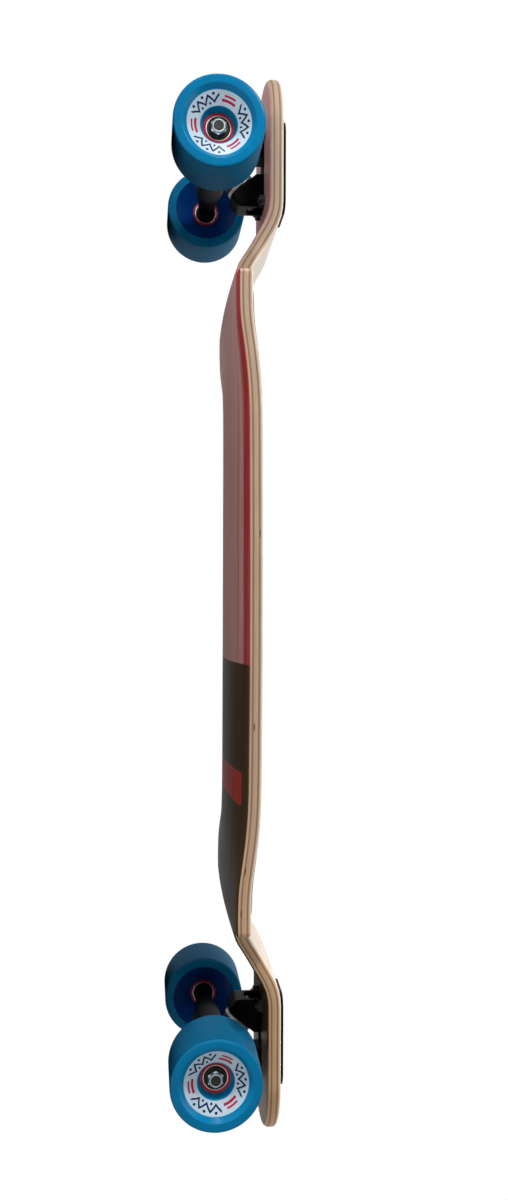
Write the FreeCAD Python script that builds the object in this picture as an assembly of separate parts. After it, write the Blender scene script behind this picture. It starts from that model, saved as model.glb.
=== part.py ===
import FreeCAD, Part
import math
import os

# A drop-through longboard: a pressed maple deck with a sunken platform, two trucks whose hangers
# steer on slanted pivots, and four urethane wheels on ball bearings.
# Millimetres. +X points to the nose, +Y to the rider's left, +Z up, the wheels stand on z = 0.

Vector = FreeCAD.Vector
cut_overrun = 6.0

# Deck
deck_length = 1004.0
deck_thickness = 13.0
veneer_thickness = 1.4
platform_width = 248.0
nose_width = 130.0
nose_corner_radius = 62.0
truck_setback = 92.0
drop_setback = 14.5
shoulder_setback = 8.0
shoulder_depth = 32.0
shoulder_lean = 3.0
shoulder_corner_radius = 5.0
neck_fillet_radius = 26.0
drop_height = 36.0
drop_angle = 30.0
bend_radius = 52.0
concave_rise = 12.5
concave_knot_shares = (-1, -0.84, -0.68, -0.52, 0.52, 0.68, 0.84, 1)
concave_rise_shares = (0, 0, 0.4, 0.9, 1, 1, 0.9, 0.4, 0, 0)
grip_thickness = 0.8
grip_inset = 6.0
grip_glue_line = 0.1
grip_corner_radius = 12.0

# Wheels
wheel_diameter = 80.0
wheel_width = 56.0
wheel_edge_radius = 3.5
outer_lip_radius = 32.0
dish_radius = 28.3
dish_depth = 4.4
throat_radius = 15.8
throat_depth = 10.0
inner_lip_radius = 31.5
core_radius = 13.1
core_flange_radius = 19.0
core_flange_inset = 5.5
core_flange_slope = 2.0
core_lip = 0.8
core_shoulder_height = 1.4
inner_core_depth = 14.5

# Bearings
axle_diameter = 8.0
bearing_diameter = 22.0
bearing_width = 7.0
bearing_spacing = 10.0
outer_ring_wall = 2.0
inner_ring_wall = 2.1
ball_diameter = 3.96
ball_count = 7
race_gap = 0.12
pocket_gap = 0.07
cage_wall = 1.2
cage_back = 0.4
cage_reach = 1.2
shield_thickness = 0.4
shield_inset = 0.3
shield_gap = 0.2
spacer_wall = 1.5

# Axle ends
speed_washer_thickness = 1.0
speed_washer_diameter = 12.0
axle_nut_across_flats = 13.0
axle_nut_height = 6.0
axle_end_reach = 0.4

# Trucks
pivot_angle = 50.0
hanger_width = 180.0
hanger_end_diameter = 17.5
hanger_middle_diameter = 28.0
hanger_middle_width = 44.0
hanger_taper_width = 124.0
hanger_web_width = 112.0
hanger_web_thickness = 12.0
truck_stand = 63.5
kingpin_along = 18.0
kingpin_diameter = 9.5
kingpin_head_across_flats = 14.0
kingpin_head_height = 6.0
kingpin_grip = 14.0
kingpin_end_reach = 3.0
kingpin_nut_across_flats = 16.0
kingpin_nut_height = 8.0
hanger_ring_diameter = 34.0
hanger_ring_height = 17.0
hanger_ring_hole_diameter = 16.0
bushing_diameter = 26.0
bushing_height = 15.5
bushing_bore_gap = 0.25
bushing_room = 0.8
cup_washer_thickness = 2.0
cup_washer_wall = 1.3
cup_washer_rim = 2.0
cup_washer_gap = 0.1
pivot_nose_diameter = 13.0
pivot_nose_end = 56.0
pivot_arm_start = 31.0
pivot_running_gap = 0.05
pivot_cup_wall = 3.0
pivot_cup_floor = 2.0
pivot_cup_depth = 11.0
pivot_end_gap = 0.3
housing_wall = 3.5
housing_end = 45.0
seat_margin = 3.5
boss_width = 29.0
boss_end = 29.0
boss_corner_radius = 3.0
head_pocket_length = 18.0
head_pocket_gap = 1.0
end_recess_depth = 8.0
end_recess_width = 18.0
end_recess_low = 37.0
end_recess_high = 56.0
flange_length = 88.0
flange_width = 58.0
flange_thickness = 6.5
flange_corner_radius = 12.0
window_gap = 0.6
window_end_gap = 1.5
window_corner_radius = 4.0

# Mounting hardware
bolt_diameter = 4.8
bolt_head_diameter = 9.2
bolt_hole_gap = 0.3
bolt_spacing_long = 63.5
bolt_spacing_wide = 41.3
bolt_offset = 6.5
bolt_end_reach = 2.0
mounting_nut_across_flats = 9.5
mounting_nut_height = 5.0

# Heights and places that follow from the sizes above
wheelbase = deck_length - 2 * truck_setback
axle_height = wheel_diameter / 2
axle_radius = axle_diameter / 2
nose_top = axle_height + truck_stand
nose_middle = nose_top - deck_thickness / 2
platform_middle = nose_middle - drop_height
slope = math.radians(drop_angle)
slope_run = (drop_height - 2 * bend_radius * (1 - math.cos(slope))) / math.sin(slope)
drop_run = 2 * bend_radius * math.sin(slope) + slope_run * math.cos(slope)
bend_end = wheelbase / 2 + bolt_offset - bolt_spacing_long / 2 - drop_setback
bend_start = bend_end - drop_run
shoulder_position = bend_start + shoulder_setback
pivot_slant = math.radians(pivot_angle)
ring_half = hanger_ring_height / 2
bushing_far = ring_half + bushing_height
seat_off = bushing_far + cup_washer_thickness
kingpin_head_off = seat_off + kingpin_grip
cup_bore_radius = pivot_nose_diameter / 2 + pivot_running_gap
cup_radius = cup_bore_radius + pivot_cup_wall
cup_mouth = pivot_nose_end + pivot_end_gap - pivot_cup_depth
cup_back = pivot_nose_end + pivot_end_gap + pivot_cup_floor
bearing_start = hanger_width / 2 + speed_washer_thickness
bearing_pitch = 2 * bearing_width + bearing_spacing
bearing_end = bearing_start + bearing_pitch
nut_start = bearing_end + speed_washer_thickness
axle_half = nut_start + axle_nut_height + axle_end_reach
nodes = {}


def rounded_wire(corners, place):
    """Closed wire through (a, b, radius) corners. place turns a flat point into one in space."""
    stretches = []
    for index, (a, b, radius) in enumerate(corners):
        corner = Vector(a, b, 0)
        before = Vector(*corners[index - 1][:2], 0) - corner
        after = Vector(*corners[(index + 1) % len(corners)][:2], 0) - corner
        before.normalize()
        after.normalize()
        half_turn = before.getAngle(after) / 2
        if radius == 0:
            stretches.append((corner, None, corner))
            continue
        inward = before + after
        inward.normalize()
        reach = radius / math.tan(half_turn)
        middle = corner + inward * (radius / math.sin(half_turn) - radius)
        stretches.append((corner + before * reach, middle, corner + after * reach))
    edges = []
    last_end = stretches[-1][2]
    for start, middle, end in stretches:
        if start.distanceToPoint(last_end) > 0:
            edges.append(Part.LineSegment(place(last_end), place(start)).toShape())
        if middle:
            edges.append(Part.Arc(place(start), place(middle), place(end)).toShape())
        last_end = end
    return Part.Wire(edges)


def prism(corners, low, high):
    """Upright solid on a plan outline, from height low to high."""
    wire = rounded_wire(corners, lambda flat: Vector(flat.x, flat.y, low))
    return Part.Face(wire).extrude(Vector(0, 0, high - low))


def side_plate(corners, width):
    """Solid with a side outline of (x, z, radius) corners, centred across the board."""
    wire = rounded_wire(corners, lambda flat: Vector(flat.x, -width / 2, flat.y))
    return Part.Face(wire).extrude(Vector(0, width, 0))


def turned(corners):
    """Solid turned about the axle line from (radius, along, corner radius) points."""
    wire = rounded_wire(corners, lambda flat: Vector(flat.x, flat.y, 0))
    return Part.Face(wire).revolve(Vector(0, 0, 0), Vector(0, 1, 0), 360)


def rectangle(x_low, x_high, width, radius):
    """Plan outline of a rounded rectangle centred on the board's middle line."""
    half = width / 2
    return [(x_low, -half, radius), (x_high, -half, radius), (x_high, half, radius), (x_low, half, radius)]


def sleeve(outer_radius, inner_radius, start, length):
    """Ring or tube about the axle line."""
    low = Vector(0, start, 0)
    along = Vector(0, 1, 0)
    outer = Part.makeCylinder(outer_radius, length, low, along)
    return outer.cut(Part.makeCylinder(inner_radius, length, low, along))


def hexagon(across_flats, height, bore_radius, foot, direction):
    """Hexagonal nut or head standing on foot; a bore of zero leaves it solid."""
    corner = across_flats / math.sqrt(3)
    points = []
    for side in range(7):
        turn = math.radians(60 * side)
        points.append(Vector(corner * math.cos(turn), corner * math.sin(turn), 0))
    shape = Part.Face(Part.makePolygon(points)).extrude(Vector(0, 0, height))
    if bore_radius:
        shape = shape.cut(Part.makeCylinder(bore_radius, height))
    shape.Placement = FreeCAD.Placement(foot, FreeCAD.Rotation(Vector(0, 0, 1), direction))
    return shape


def both_sides(shape):
    """A piece and its twin on the other end of the axle."""
    twin = shape.copy()
    twin.rotate(Vector(0, 0, 0), Vector(0, 0, 1), 180)
    return [shape, twin]


def deck_outline(inset):
    """Plan outline of the deck, drawn in from the edge by inset."""
    tip = deck_length / 2 - inset
    nose_half = nose_width / 2 - inset
    shoulder = shoulder_position - inset
    platform_half = platform_width / 2 - inset
    shoulder_foot = shoulder + shoulder_lean + shoulder_depth
    quarter = [
        (tip, nose_half, nose_corner_radius),
        (shoulder_foot, nose_half, neck_fillet_radius),
        (shoulder + shoulder_lean, platform_half - shoulder_depth, neck_fillet_radius),
        (shoulder, platform_half, shoulder_corner_radius),
    ]
    corners = []
    for x_sign, y_sign in ((1, 1), (-1, 1), (-1, -1), (1, -1)):
        ordered = quarter if x_sign == y_sign else quarter[::-1]
        corners += [(x_sign * x, y_sign * y, radius) for x, y, radius in ordered]
    return corners


def bend_edges(height):
    """The drop and the nose seen from the side, at a height above the laminate's middle."""
    low_centre = Vector(bend_start, 0, platform_middle + bend_radius)
    high_centre = Vector(bend_end, 0, nose_middle - bend_radius)
    low_radius = bend_radius - height
    high_radius = bend_radius + height

    def on_low(angle):
        return low_centre + Vector(math.sin(angle), 0, -math.cos(angle)) * low_radius

    def on_high(angle):
        return high_centre + Vector(-math.sin(angle), 0, math.cos(angle)) * high_radius

    tip = Vector(deck_length / 2 + cut_overrun, 0, nose_middle + height)
    return [
        Part.Arc(on_low(0), on_low(slope / 2), on_low(slope)).toShape(),
        Part.LineSegment(on_low(slope), on_high(slope)).toShape(),
        Part.Arc(on_high(slope), on_high(slope / 2), on_high(0)).toShape(),
        Part.LineSegment(on_high(0), tip).toShape(),
    ]


def bend_layer(low, high):
    """One layer of the drop and the nose, wider than the deck."""
    half = platform_width / 2 + cut_overrun
    under = bend_edges(low)
    over = bend_edges(high)
    start = Part.LineSegment(under[0].firstVertex().Point, over[0].firstVertex().Point).toShape()
    tip = Part.LineSegment(under[-1].lastVertex().Point, over[-1].lastVertex().Point).toShape()
    wire = Part.Wire(Part.__sortEdges__(under + [tip] + over + [start]))
    face = Part.Face(wire)
    face.translate(Vector(0, -half, 0))
    return face.extrude(Vector(0, 2 * half, 0))


def platform_layer(low, high):
    """One layer of the platform: a trough across the board that fades out towards the drops."""
    half = platform_width / 2 + cut_overrun
    steepness = (2 * half / platform_width) ** 2
    knots = [bend_start * share for share in concave_knot_shares]
    full_knots = [knots[0]] * 3 + knots + [knots[-1]] * 3
    poles = []
    for index, share in enumerate(concave_rise_shares):
        x = sum(full_knots[index + 1:index + 4]) / 3
        rise = concave_rise * share * steepness
        height = platform_middle + low
        poles.append([Vector(x, side * half, height + rise * (2 * abs(side) - 1)) for side in (-1, 0, 1)])
    surface = Part.BSplineSurface()
    long_mults = [4] + [1] * (len(knots) - 2) + [4]
    surface.buildFromPolesMultsKnots(poles, long_mults, [3, 3], knots, [0, 1], False, False, 3, 2)
    return surface.toShape().extrude(Vector(0, 0, high - low))


def truck_places():
    """The two trucks: name, sign of X and the turn about the upright axis."""
    return (("front", 1, 0), ("rear", -1, 180))


def bolt_places():
    """Mounting bolt places in the truck's own plan."""
    places = []
    for x_sign in (-1, 1):
        for y_sign in (-1, 1):
            x = bolt_offset + x_sign * bolt_spacing_long / 2
            places.append(Vector(x, y_sign * bolt_spacing_wide / 2, 0))
    return places


def on_truck(shape, x_sign, turn):
    """A piece from the truck's own frame, whose origin is the axle's middle, set on the board."""
    placed = shape.copy()
    placed.rotate(Vector(0, 0, 0), Vector(0, 0, 1), turn)
    placed.translate(Vector(x_sign * wheelbase / 2, 0, axle_height))
    return placed


def deck_cutters():
    """Windows for the truck bosses, and holes for the mounting bolts."""
    width = boss_width + 2 * window_gap
    low = -axle_height
    high = truck_stand + concave_rise + flange_thickness
    outline = rectangle(-boss_end - window_end_gap, housing_end + window_end_gap, width, window_corner_radius)
    cutters = [prism(outline, low, high)]
    for place in bolt_places():
        hole_radius = bolt_diameter / 2 + bolt_hole_gap
        cutters.append(Part.makeCylinder(hole_radius, high - low, place + Vector(0, 0, low)))
    placed = []
    for name, x_sign, turn in truck_places():
        placed += [on_truck(cutter, x_sign, turn) for cutter in cutters]
    return placed


def deck_layer(low, high):
    """One layer of the laminate between two heights above its middle, cut to the deck's outline."""
    nose = bend_layer(low, high)
    tail = nose.copy()
    tail.rotate(Vector(0, 0, 0), Vector(0, 0, 1), 180)
    sheet = platform_layer(low, high).fuse([nose, tail])
    outline = prism(deck_outline(0), 0, nose_top + concave_rise)
    return sheet.common(outline).cut(deck_cutters()).Solids[0]


def pivot_point(along, off):
    """Side-view place in the truck's frame: along the pivot axis from the axle, and off it to the deck."""
    x = along * math.cos(pivot_slant) - off * math.sin(pivot_slant)
    z = along * math.sin(pivot_slant) + off * math.cos(pivot_slant)
    return Vector(x, 0, z)


def pivot_rod(radius, start, end):
    """Cylinder on the pivot axis."""
    axis = pivot_point(1, 0)
    return Part.makeCylinder(radius, end - start, pivot_point(start, 0), axis)


def kingpin_rod(radius, low, high):
    """Cylinder on the kingpin axis, between two distances off the pivot axis."""
    axis = pivot_point(0, 1)
    return Part.makeCylinder(radius, high - low, pivot_point(kingpin_along, low), axis)


# Deck: stained bottom veneer, glued inner plies, top veneer
half_thickness = deck_thickness / 2
core_half = half_thickness - veneer_thickness
nodes["deck_bottom_veneer"] = deck_layer(-half_thickness, -core_half)
nodes["deck_core"] = deck_layer(-core_half, core_half)
nodes["deck_top_veneer"] = deck_layer(core_half, half_thickness)

# Grip sheet on the platform
grip_half_length = bend_start - grip_inset
grip_plan = rectangle(-grip_half_length, grip_half_length, platform_width - 2 * grip_inset, grip_corner_radius)
grip_low = half_thickness + grip_glue_line
grip_blank = platform_layer(grip_low, grip_low + grip_thickness)
nodes["grip_sheet"] = grip_blank.common(prism(grip_plan, 0, nose_top)).Solids[0]


def make_baseplate():
    """Flange on the deck's top, with the kingpin boss and the pivot housing let down through it."""
    flange_low = bolt_offset - flange_length / 2
    flange_plan = rectangle(flange_low, flange_low + flange_length, flange_width, flange_corner_radius)
    flange_top = truck_stand + flange_thickness
    seat_half = bushing_diameter / 2 + seat_margin
    apex = pivot_point(kingpin_along - seat_half, seat_off)
    seat_top = pivot_point(kingpin_along + seat_half, seat_off)
    side_fall = (boss_end + apex.x) / math.tan(pivot_slant)
    boss = side_plate([
        (-boss_end, flange_top, 0),
        (-boss_end, apex.z + side_fall, boss_corner_radius),
        (apex.x, apex.z, boss_corner_radius),
        (seat_top.x, seat_top.z, 0),
        (seat_top.x, flange_top, 0),
    ], boss_width)
    housing_half = cup_radius + housing_wall
    upper = pivot_point(cup_mouth, housing_half)
    lower = pivot_point(cup_mouth, -housing_half)
    lower_rise = (housing_end - lower.x) * math.tan(pivot_slant)
    housing = side_plate([
        (upper.x, flange_top, 0),
        (upper.x, upper.z, 0),
        (lower.x, lower.z, boss_corner_radius),
        (housing_end, lower.z + lower_rise, boss_corner_radius),
        (housing_end, flange_top, 0),
    ], 2 * housing_half)
    plate = prism(flange_plan, truck_stand, flange_top).fuse([boss, housing])
    head_radius = kingpin_head_across_flats / math.sqrt(3)
    pocket = kingpin_rod(head_radius + head_pocket_gap, kingpin_head_off, kingpin_head_off + head_pocket_length)
    recess_start = boss_end - end_recess_depth
    recess = Part.makeBox(
        end_recess_depth + cut_overrun, end_recess_width, end_recess_high - end_recess_low,
        Vector(-recess_start - end_recess_depth - cut_overrun, -end_recess_width / 2, end_recess_low))
    cutters = [pocket, recess]
    cutters.append(kingpin_rod(kingpin_diameter / 2, seat_off - cut_overrun, kingpin_head_off + cut_overrun))
    cutters.append(pivot_rod(cup_radius, cup_mouth - cut_overrun, cup_back))
    for place in bolt_places():
        hole_radius = bolt_diameter / 2 + bolt_hole_gap
        foot = place + Vector(0, 0, truck_stand)
        cutters.append(Part.makeCylinder(hole_radius, flange_thickness, foot))
        cutters.append(bolt_head(place))
    return plate.cut(cutters)


def bolt_head(place):
    """Countersunk head, flush with the flange."""
    head_height = (bolt_head_diameter - bolt_diameter) / 2
    foot = place + Vector(0, 0, truck_stand + flange_thickness - head_height)
    return Part.makeCone(bolt_diameter / 2, bolt_head_diameter / 2, head_height, foot)


def make_bolt(place):
    """Countersunk bolt through flange and deck, with its end past the nut."""
    low = truck_stand - deck_thickness - mounting_nut_height - bolt_end_reach
    length = truck_stand + flange_thickness - low
    shank = Part.makeCylinder(bolt_diameter / 2, length, place + Vector(0, 0, low))
    return shank.fuse(bolt_head(place)).removeSplitter()


def make_mounting_nut(place):
    """Nut drawn up against the deck's underside."""
    foot = place + Vector(0, 0, truck_stand - deck_thickness - mounting_nut_height)
    return hexagon(mounting_nut_across_flats, mounting_nut_height, bolt_diameter / 2, foot, Vector(0, 0, 1))


def make_pivot_cup():
    """Urethane cup that the hanger's pivot nose turns in."""
    return pivot_rod(cup_radius, cup_mouth, cup_back).cut(
        pivot_rod(cup_bore_radius, cup_mouth, pivot_nose_end + pivot_end_gap))


def make_kingpin():
    """Hexagon-headed bolt that clamps the bushings."""
    end = -seat_off - kingpin_nut_height - kingpin_end_reach
    shank = kingpin_rod(kingpin_diameter / 2, end, kingpin_head_off)
    head = hexagon(
        kingpin_head_across_flats, kingpin_head_height, 0,
        pivot_point(kingpin_along, kingpin_head_off), pivot_point(0, 1))
    return shank.fuse(head)


def make_kingpin_nut():
    """Nut on the road end of the kingpin."""
    foot = pivot_point(kingpin_along, -seat_off - kingpin_nut_height)
    return hexagon(
        kingpin_nut_across_flats, kingpin_nut_height, kingpin_diameter / 2, foot, pivot_point(0, 1))


def make_bushing(low, high):
    """Plain barrel of urethane round the kingpin."""
    bore = kingpin_rod(kingpin_diameter / 2 + bushing_bore_gap, low, high)
    return kingpin_rod(bushing_diameter / 2, low, high).cut(bore)


def make_cup_washer(side):
    """Cup washer over a bushing's free end; side is 1 by the deck and -1 by the road."""
    rim_radius = bushing_diameter / 2 + cup_washer_gap
    low, high = sorted((side * (bushing_far - cup_washer_rim), side * seat_off))
    hollow_low, hollow_high = sorted((side * (bushing_far - cup_washer_rim), side * bushing_far))
    washer = kingpin_rod(rim_radius + cup_washer_wall, low, high)
    hollow = kingpin_rod(rim_radius, hollow_low, hollow_high)
    return washer.cut([hollow, kingpin_rod(kingpin_diameter / 2, low, high)])


def make_hanger():
    """Axle beam, bushing ring and pivot nose cast in one."""
    end_radius = hanger_end_diameter / 2
    middle_radius = hanger_middle_diameter / 2
    half = hanger_width / 2
    taper = hanger_taper_width / 2
    middle = hanger_middle_width / 2
    beam = turned([
        (0, -half, 0), (end_radius, -half, 0), (end_radius, -taper, 0), (middle_radius, -middle, 0),
        (middle_radius, middle, 0), (end_radius, taper, 0), (end_radius, half, 0), (0, half, 0)])
    nose_radius = pivot_nose_diameter / 2
    nose = pivot_rod(nose_radius, kingpin_along, pivot_nose_end)
    axis = pivot_point(1, 0)
    arm = pivot_rod(ring_half, kingpin_along, pivot_arm_start)
    taper_length = cup_mouth - pivot_arm_start - pivot_end_gap
    cone = Part.makeCone(ring_half, nose_radius, taper_length, pivot_point(pivot_arm_start, 0), axis)
    web_half = hanger_web_width / 2
    ring_radius = hanger_ring_diameter / 2
    ring = kingpin_rod(ring_radius, -ring_half, ring_half)
    web_corners = [(-web_half, 0), (web_half, 0), (ring_radius, kingpin_along), (-ring_radius, kingpin_along)]
    web_foot = pivot_point(0, -hanger_web_thickness / 2)
    web_points = [web_foot + pivot_point(along, 0) + Vector(0, y, 0) for y, along in web_corners]
    web_face = Part.Face(Part.makePolygon(web_points + web_points[:1]))
    web = web_face.extrude(pivot_point(0, hanger_web_thickness))
    room = bushing_diameter / 2 + bushing_room
    reach = hanger_middle_diameter + cut_overrun
    cutters = [
        kingpin_rod(room, ring_half, reach),
        kingpin_rod(room, -reach, -ring_half),
        kingpin_rod(hanger_ring_hole_diameter / 2, -reach, reach),
        Part.makeCylinder(axle_radius, hanger_width, Vector(0, -half, 0), Vector(0, 1, 0)),
    ]
    return beam.fuse([ring, web, nose, arm, cone]).cut(cutters).removeSplitter()


def make_inner_ring(start):
    """Bearing inner ring with its ball groove."""
    ring = sleeve(axle_radius + inner_ring_wall, axle_radius, start, bearing_width)
    return ring.cut(ball_groove(start))


def make_outer_ring(start):
    """Bearing outer ring with its ball groove."""
    outer = bearing_diameter / 2
    return sleeve(outer, outer - outer_ring_wall, start, bearing_width).cut(ball_groove(start))


def ball_pitch_radius():
    """Radius of the circle that the ball centres lie on."""
    return (axle_radius + bearing_diameter / 2) / 2


def ball_groove(start):
    """Ring that the balls run in, a little larger than the balls."""
    middle = Vector(0, start + bearing_width / 2, 0)
    return Part.makeTorus(ball_pitch_radius(), ball_diameter / 2 + race_gap, middle, Vector(0, 1, 0))


def make_shields(start):
    """The two thin shields that close a bearing."""
    outer = bearing_diameter / 2 - outer_ring_wall
    inner = axle_radius + inner_ring_wall + shield_gap
    far = start + bearing_width - shield_inset - shield_thickness
    return [sleeve(outer, inner, place, shield_thickness) for place in (start + shield_inset, far)]


def make_ball_set(start):
    """Balls of one bearing, with the crown cage that keeps them apart."""
    middle = start + bearing_width / 2
    pitch = ball_pitch_radius()
    ball_radius = ball_diameter / 2
    back = ball_radius + pocket_gap + cage_back
    cage = sleeve(pitch + cage_wall / 2, pitch - cage_wall / 2, middle - cage_reach, cage_reach + back)
    balls = []
    pockets = []
    for index in range(ball_count):
        turn = 2 * math.pi * index / ball_count
        outward = Vector(math.cos(turn), 0, math.sin(turn))
        centre = outward * pitch + Vector(0, middle, 0)
        balls.append(Part.makeSphere(ball_radius, centre))
        pocket_foot = centre - outward * cage_wall
        pockets.append(Part.makeCylinder(ball_radius + pocket_gap, 2 * cage_wall, pocket_foot, outward))
    return balls + [cage.cut(pockets)]


def core_stations():
    """Places along the axle where the hub core's outside changes."""
    low = bearing_start
    high = bearing_end + core_lip
    return low, low + core_flange_inset, high - core_flange_inset, high


def make_tyre():
    """Urethane wheel cast round its hub core, dished on the outer face."""
    inner_face = bearing_start - inner_core_depth
    outer_face = inner_face + wheel_width
    tread = wheel_diameter / 2
    low, flange_low, flange_high, high = core_stations()
    return turned([
        (core_radius, low, 0),
        (inner_lip_radius, inner_face, 0),
        (tread, inner_face, wheel_edge_radius),
        (tread, outer_face, wheel_edge_radius),
        (outer_lip_radius, outer_face, 0),
        (dish_radius, outer_face - dish_depth, 0),
        (throat_radius, outer_face - throat_depth, 0),
        (core_radius, high, 0),
        (core_radius, flange_high + core_flange_slope, 0),
        (core_flange_radius, flange_high, 0),
        (core_flange_radius, flange_low, 0),
        (core_radius, flange_low - core_flange_slope, 0),
    ])


def make_hub_core():
    """Stiff core with a seat for each bearing and a shoulder between them."""
    low, flange_low, flange_high, high = core_stations()
    seat = bearing_diameter / 2
    shoulder = seat - core_shoulder_height
    return turned([
        (seat, low, 0),
        (core_radius, low, 0),
        (core_radius, flange_low - core_flange_slope, 0),
        (core_flange_radius, flange_low, 0),
        (core_flange_radius, flange_high, 0),
        (core_radius, flange_high + core_flange_slope, 0),
        (core_radius, high, 0),
        (seat, high, 0),
        (seat, bearing_end - bearing_width, 0),
        (shoulder, bearing_end - bearing_width, 0),
        (shoulder, bearing_start + bearing_width, 0),
        (seat, bearing_start + bearing_width, 0),
    ])


# Trucks, each made in its own frame and set on the board
bearing_starts = (bearing_start, bearing_end - bearing_width)
along_axle = Vector(0, 1, 0)
washer_starts = (hanger_width / 2, bearing_end)
speed_washer = [sleeve(speed_washer_diameter / 2, axle_radius, s, speed_washer_thickness) for s in washer_starts]
axle_nut = hexagon(axle_nut_across_flats, axle_nut_height, axle_radius, Vector(0, nut_start, 0), along_axle)
spacer = sleeve(axle_radius + spacer_wall, axle_radius, bearing_start + bearing_width, bearing_spacing)
truck_pieces = {
    "baseplate": [make_baseplate()],
    "pivot_cup": [make_pivot_cup()],
    "kingpin": [make_kingpin()],
    "kingpin_nut": [make_kingpin_nut()],
    "board_bushing": [make_bushing(ring_half, bushing_far)],
    "road_bushing": [make_bushing(-bushing_far, -ring_half)],
    "cup_washers": [make_cup_washer(1), make_cup_washer(-1)],
    "hanger": [make_hanger()],
    "axle": [Part.makeCylinder(axle_radius, 2 * axle_half, Vector(0, -axle_half, 0), along_axle)],
    "speed_washers": sum([both_sides(piece) for piece in speed_washer], []),
    "axle_nuts": both_sides(axle_nut),
    "bearing_inner_rings": sum([both_sides(make_inner_ring(s)) for s in bearing_starts], []),
    "bearing_spacers": both_sides(spacer),
    "mounting_bolts": [make_bolt(place) for place in bolt_places()],
    "mounting_nuts": [make_mounting_nut(place) for place in bolt_places()],
}
for truck_name, x_sign, turn in truck_places():
    for piece_name, shapes in truck_pieces.items():
        placed = [on_truck(shape, x_sign, turn) for shape in shapes]
        nodes[f"{truck_name}_{piece_name}"] = placed[0] if len(placed) == 1 else Part.makeCompound(placed)

# Wheels, each with its core and the parts of its bearings that turn with it
wheel_pieces = {
    "tyre": [make_tyre()],
    "hub_core": [make_hub_core()],
    "bearing_outer_rings": [make_outer_ring(s) for s in bearing_starts],
    "bearing_shields": sum([make_shields(s) for s in bearing_starts], []),
    "bearing_balls": sum([make_ball_set(s) for s in bearing_starts], []),
}
for truck_name, x_sign, truck_turn in truck_places():
    for side_name, side_turn in (("left", 0), ("right", 180)):
        for piece_name, shapes in wheel_pieces.items():
            placed = [on_truck(shape, x_sign, side_turn) for shape in shapes]
            name = f"{truck_name}_{side_name}_{piece_name}"
            nodes[name] = placed[0] if len(placed) == 1 else Part.makeCompound(placed)

os.makedirs("parts", exist_ok=True)
for node_name, shape in nodes.items():
    shape.exportStep(f"parts/{node_name}.step")
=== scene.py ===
import math

import bpy
from mathutils import Matrix, Vector


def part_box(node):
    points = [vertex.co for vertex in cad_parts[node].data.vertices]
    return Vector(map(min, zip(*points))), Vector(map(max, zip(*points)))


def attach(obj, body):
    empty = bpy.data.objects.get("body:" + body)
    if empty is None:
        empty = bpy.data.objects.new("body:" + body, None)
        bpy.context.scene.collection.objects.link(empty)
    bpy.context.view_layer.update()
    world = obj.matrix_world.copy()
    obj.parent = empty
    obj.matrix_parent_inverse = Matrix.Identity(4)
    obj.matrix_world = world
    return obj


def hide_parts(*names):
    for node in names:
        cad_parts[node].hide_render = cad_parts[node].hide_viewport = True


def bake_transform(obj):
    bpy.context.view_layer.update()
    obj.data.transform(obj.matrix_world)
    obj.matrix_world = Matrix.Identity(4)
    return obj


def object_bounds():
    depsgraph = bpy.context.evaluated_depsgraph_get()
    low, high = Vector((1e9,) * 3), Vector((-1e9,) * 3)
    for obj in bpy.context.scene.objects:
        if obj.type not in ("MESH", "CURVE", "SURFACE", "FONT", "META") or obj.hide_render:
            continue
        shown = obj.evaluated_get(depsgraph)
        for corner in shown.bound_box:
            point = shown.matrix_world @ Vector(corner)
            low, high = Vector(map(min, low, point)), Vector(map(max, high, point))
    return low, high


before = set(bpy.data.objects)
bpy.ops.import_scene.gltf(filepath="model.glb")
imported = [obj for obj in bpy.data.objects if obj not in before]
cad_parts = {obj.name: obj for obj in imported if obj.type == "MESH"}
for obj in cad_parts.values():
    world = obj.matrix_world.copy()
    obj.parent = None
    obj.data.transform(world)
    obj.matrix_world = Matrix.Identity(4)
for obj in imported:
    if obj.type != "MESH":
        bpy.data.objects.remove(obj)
cad_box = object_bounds()

# Deck: maple plies pressed into a hollowed platform that is sunk between two raised ends.
# The stained bottom veneer, the core plies and the top veneer are glued, then cut and rounded as one.
deck_thickness = 0.013
veneer_thickness = 0.0014
edge_round_low = 0.0022
edge_round_high = 0.0040
tip_round = 0.0056
tip_round_span = (0.440, 0.495)
drop_height = 0.036
drop_slope = math.radians(30)
bend_radius = 0.052
bend_start = 0.280
concave_rise = 0.0125
concave_knots = [bend_start * share for share in (-1, -0.84, -0.68, -0.52, 0.52, 0.68, 0.84, 1)]
concave_shares = (0, 0, 0.4, 0.9, 1, 1, 0.9, 0.4, 0, 0)
shoulder_lift = 0.0026
shoulder_lift_span = (0.235, 0.280, 0.291, 0.318)
nose_half = 0.065
nose_corner = 0.062
shoulder_x = 0.288
shoulder_lean = 0.003
shoulder_depth = 0.032
shoulder_corner = 0.005
neck_fillet = 0.026
window_half_width = 0.0151
window_reach = (0.3795, 0.4565)
deck_columns = 24
path_step = 0.008
arc_step = math.radians(3)
same_spot = 1e-6
edge_arc_steps = 6
cutter_reach = (0.0, 0.2)
deck_crease = 40

deck_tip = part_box("deck_core")[1].x
platform_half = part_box("deck_core")[1].y
nose_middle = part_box("deck_top_veneer")[1].z - deck_thickness / 2
platform_middle = nose_middle - drop_height
slope_run = (drop_height - 2 * bend_radius * (1 - math.cos(drop_slope))) / math.sin(drop_slope)
bend_end = bend_start + 2 * bend_radius * math.sin(drop_slope) + slope_run * math.cos(drop_slope)


def smooth_step(low, high, x):
    share = min(max((x - low) / (high - low), 0), 1)
    return share * share * (3 - 2 * share)


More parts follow.
